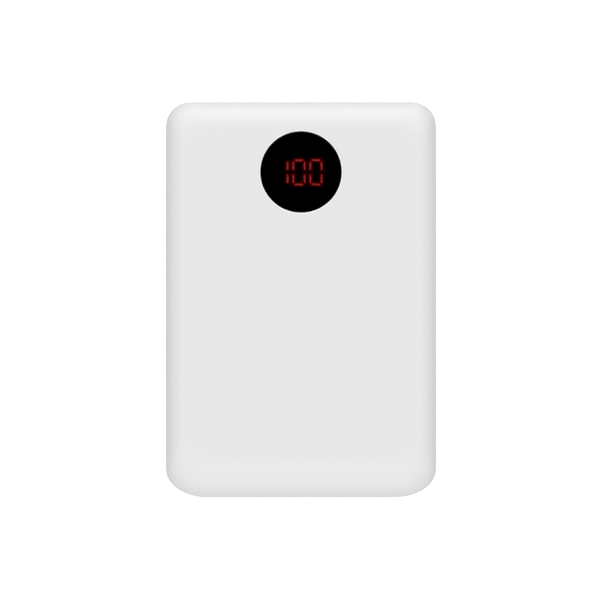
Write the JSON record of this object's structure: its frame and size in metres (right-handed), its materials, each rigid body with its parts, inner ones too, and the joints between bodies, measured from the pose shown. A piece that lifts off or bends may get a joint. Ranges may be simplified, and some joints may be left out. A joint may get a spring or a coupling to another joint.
{
  "type": "power bank",
  "caption": "Pocket power bank: glossy white shell in two snap-fit halves, round numeric charge display, sockets in one end, side power button, stacked flat cells inside.",
  "frame": {"origin": "middle of the rear face, which the power bank lies on", "axes": "+Z out of the display face, +Y towards the end with the display and the sockets, +X towards the side with the power button"},
  "size_m": [0.062, 0.0906, 0.0224],
  "materials": {
    "white_gloss": "glossy moulded white",
    "white_satin": "satin moulded white",
    "bright_white": "polished white",
    "smoked_lens": "smoked acrylic, polished",
    "black_plastic": "fine matte black",
    "red_diffuser": "translucent red, lit from behind",
    "black_foam": "closed-cell foam",
    "grey_foam": "open-cell foam",
    "clear_tape": "double-sided tape",
    "board_green": "solder mask, semi-gloss",
    "socket_steel": "stamped, nickel plated",
    "contact_gold": "gold plated",
    "nickel": "plain nickel",
    "cell_foil": "laminated foil, satin",
    "ferrite_grey": "moulded ferrite",
    "chip_black": "moulded epoxy",
    "ceramic_tan": "fired, matte",
    "can_aluminium": "bright drawn",
    "ribbon_amber": "polyimide film",
    "fish_paper": "vulcanised fibre"
  },
  "bodies": {
    "casing": {"board_screw_left": "nickel", "board_screw_right": "nickel", "boost_inductor": "ferrite_grey", "cell_tape": "clear_tape", "ceramic_capacitor_1": "ceramic_tan", "ceramic_capacitor_2": "ceramic_tan", "charge_chip": "chip_black", "charge_inductor": "ferrite_grey", "controller_chip": "chip_black", "display_base": "board_green", "display_gasket": "black_foam", "display_housing": "black_plastic", "display_lens": "smoked_lens", "display_ribbon": "ribbon_amber", "foam_pad_front": "grey_foam", "foam_pad_rear": "grey_foam", "front_cell": "cell_foil", "front_cell_negative_tab": "nickel", "front_cell_positive_tab": "nickel", "front_cover": "white_gloss", "insulation_sheet": "fish_paper", "left_output_contact_1": "contact_gold", "left_output_contact_2": "contact_gold", "left_output_contact_3": "contact_gold", "left_output_contact_4": "contact_gold", "left_output_shell": "socket_steel", "left_output_tongue": "black_plastic", "lens_bezel": "bright_white", "lens_tape": "black_foam", "main_board": "board_green", "output_capacitor_1": "can_aluminium", "output_capacitor_2": "can_aluminium", "port_plate": "white_satin", "power_transistor": "chip_black", "protection_chip": "chip_black", "rear_cell": "cell_foil", "rear_cell_negative_tab": "nickel", "rear_cell_positive_tab": "nickel", "rear_cover": "white_gloss", "right_output_contact_1": "contact_gold", "right_output_contact_2": "contact_gold", "right_output_contact_3": "contact_gold", "right_output_contact_4": "contact_gold", "right_output_shell": "socket_steel", "right_output_tongue": "black_plastic", "round_input_shell": "socket_steel", "round_input_tongue": "black_plastic", "segment_light_guide": "red_diffuser", "sense_resistor": "chip_black", "small_input_shell": "socket_steel", "small_input_tongue": "black_plastic", "switch_base": "black_plastic", "switch_dome": "nickel", "switch_frame": "socket_steel"},
    "button": {"power_button": "white_gloss"},
    "plunger": {"switch_plunger": "black_plastic"}
  },
  "joints": [
    {"name": "button_press", "type": "slide", "parent": "casing", "child": "button", "axis": [-1, 0, 0], "range_m": [0, 0.0004], "stiffness_N_per_m": 2000, "springref_m": -0.0003},
    {"name": "plunger_press", "type": "slide", "parent": "casing", "child": "plunger", "axis": [-1, 0, 0], "range_m": [0, 0.0004]}
  ],
  "couplings": [
    {"joint": "plunger_press", "follows": "button_press", "ratio": 1}
  ]
}
